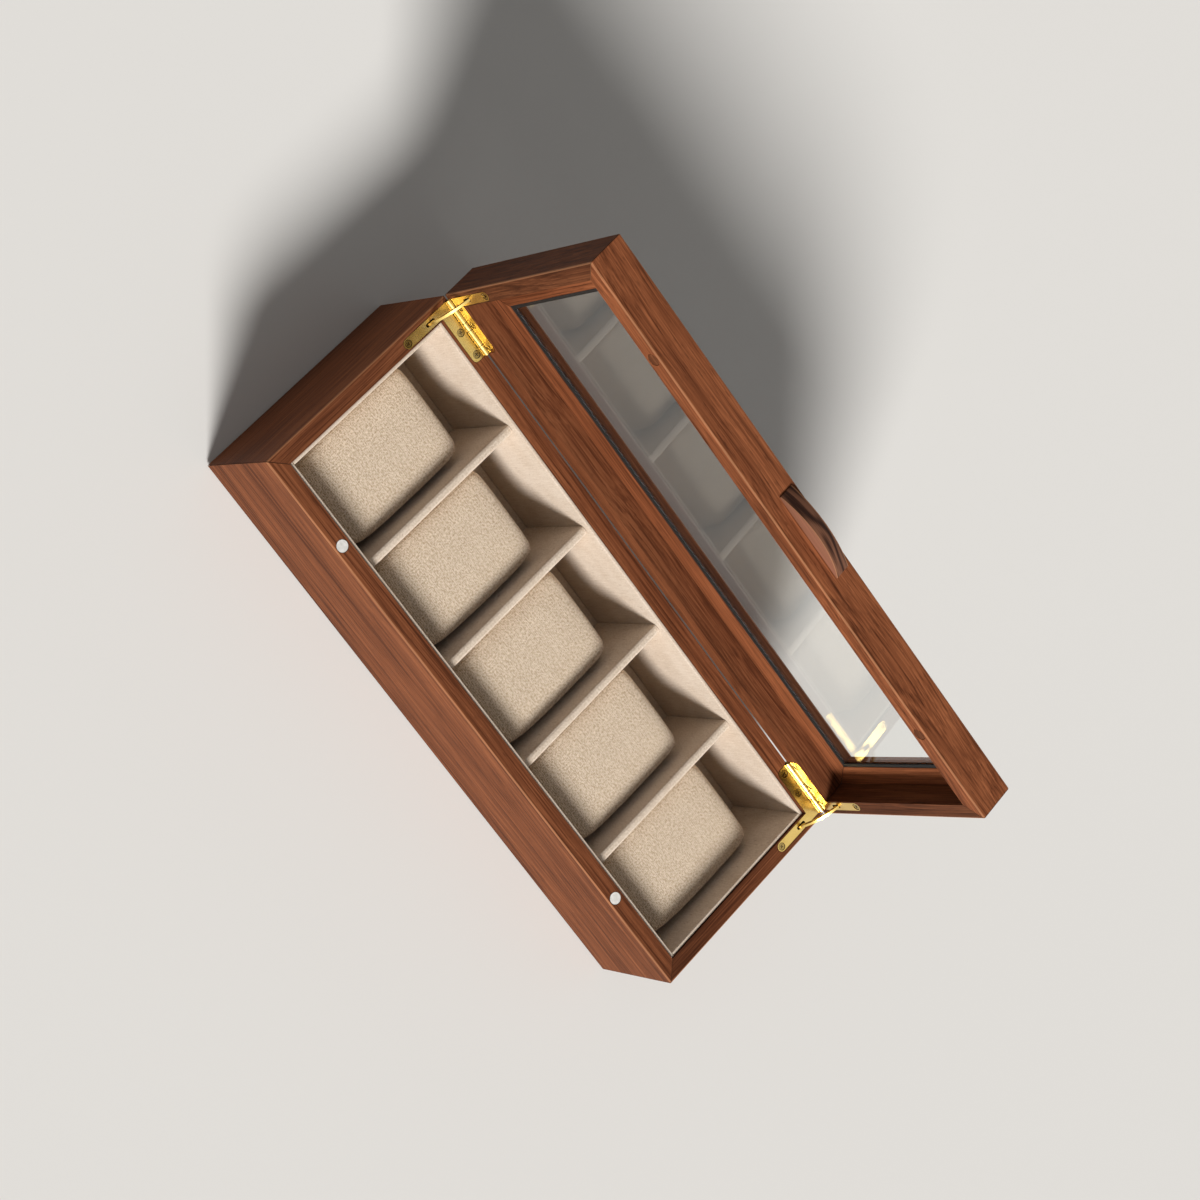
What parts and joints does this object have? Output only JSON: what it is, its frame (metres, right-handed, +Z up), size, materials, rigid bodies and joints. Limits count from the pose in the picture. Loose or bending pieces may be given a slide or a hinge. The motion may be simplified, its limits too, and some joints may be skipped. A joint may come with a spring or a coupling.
{
  "type": "watch display box",
  "caption": "Mitred walnut watch box with lined compartments, lift-out linen cushions, a glazed magnetic lid and two brass side-rail hinges with curved stays.",
  "frame": {"origin": "centre of the underside, where the felt rests on the table", "axes": "+X along the box to its right, -Y to its front with the handle, +Z up"},
  "size_m": [0.33, 0.1496, 0.1917],
  "materials": {
    "walnut": "satin lacquered walnut",
    "dark_walnut": "satin lacquered dark walnut burl",
    "birch_panel": "plain plywood",
    "black_felt": "pressed felt",
    "lining_cloth": "cream suede cloth",
    "cushion_linen": "beige linen weave",
    "brass": "polished brass",
    "magnet_nickel": "nickel-plated magnet",
    "black_seal": "black glazing tape",
    "clear_glass": "clear float glass"
  },
  "bodies": {
    "base": {"base_front_rail": "walnut", "base_right_rail": "walnut", "base_back_rail": "walnut", "base_left_rail": "walnut", "bottom_panel": "birch_panel", "bottom_felt": "black_felt", "lining_front": "lining_cloth", "lining_back": "lining_cloth", "lining_left": "lining_cloth", "lining_right": "lining_cloth", "floor_pad": "lining_cloth", "divider_1": "lining_cloth", "divider_2": "lining_cloth", "divider_3": "lining_cloth", "divider_4": "lining_cloth", "base_magnet_left": "magnet_nickel", "base_magnet_right": "magnet_nickel", "hinge_left_lower_leaf": "brass", "hinge_left_pin": "brass", "base_hinge_screw_left_1": "brass", "base_hinge_screw_left_2": "brass", "base_hinge_screw_left_3": "brass", "hinge_right_lower_leaf": "brass", "hinge_right_pin": "brass", "base_hinge_screw_right_1": "brass", "base_hinge_screw_right_2": "brass", "base_hinge_screw_right_3": "brass"},
    "lid": {"lid_front_rail": "walnut", "lid_right_rail": "walnut", "lid_back_rail": "walnut", "lid_left_rail": "walnut", "window_frame_front": "walnut", "window_frame_right": "walnut", "window_frame_back": "walnut", "window_frame_left": "walnut", "glass_pane": "clear_glass", "glazing_seal": "black_seal", "lid_magnet_left": "magnet_nickel", "lid_magnet_right": "magnet_nickel", "magnet_cap_left": "dark_walnut", "magnet_cap_right": "dark_walnut", "handle": "dark_walnut", "hinge_left_upper_leaf": "brass", "lid_hinge_screw_left_1": "brass", "lid_hinge_screw_left_2": "brass", "lid_hinge_screw_left_3": "brass", "lid_hinge_screw_left_4": "brass", "hinge_right_upper_leaf": "brass", "lid_hinge_screw_right_1": "brass", "lid_hinge_screw_right_2": "brass", "lid_hinge_screw_right_3": "brass", "lid_hinge_screw_right_4": "brass"},
    "stay_left": {"hinge_left_stay": "brass"},
    "stay_right": {"hinge_right_stay": "brass"},
    "cushion_1": {"cushion_1": "cushion_linen"},
    "cushion_2": {"cushion_2": "cushion_linen"},
    "cushion_3": {"cushion_3": "cushion_linen"},
    "cushion_4": {"cushion_4": "cushion_linen"},
    "cushion_5": {"cushion_5": "cushion_linen"}
  },
  "joints": [
    {"name": "lid_hinge", "type": "hinge", "parent": "base", "child": "lid", "pos_m": [0, 0.0602, 0.06515], "axis": [1, 0, 0], "range_deg": [0, 94]},
    {"name": "stay_left", "type": "hinge", "parent": "base", "child": "stay_left", "pos_m": [-0.1597, 0.0602, 0.06515], "axis": [1, 0, 0], "range_deg": [0, 47]},
    {"name": "stay_right", "type": "hinge", "parent": "base", "child": "stay_right", "pos_m": [0.1597, 0.0602, 0.06515], "axis": [1, 0, 0], "range_deg": [0, 47]},
    {"name": "cushion_1_lift", "type": "slide", "parent": "base", "child": "cushion_1", "axis": [0, 0, 1], "range_m": [0, 0.024]},
    {"name": "cushion_2_lift", "type": "slide", "parent": "base", "child": "cushion_2", "axis": [0, 0, 1], "range_m": [0, 0.024]},
    {"name": "cushion_3_lift", "type": "slide", "parent": "base", "child": "cushion_3", "axis": [0, 0, 1], "range_m": [0, 0.024]},
    {"name": "cushion_4_lift", "type": "slide", "parent": "base", "child": "cushion_4", "axis": [0, 0, 1], "range_m": [0, 0.024]},
    {"name": "cushion_5_lift", "type": "slide", "parent": "base", "child": "cushion_5", "axis": [0, 0, 1], "range_m": [0, 0.024]}
  ],
  "couplings": [
    {"joint": "stay_left", "follows": "lid_hinge", "ratio": 0.5},
    {"joint": "stay_right", "follows": "lid_hinge", "ratio": 0.5}
  ]
}
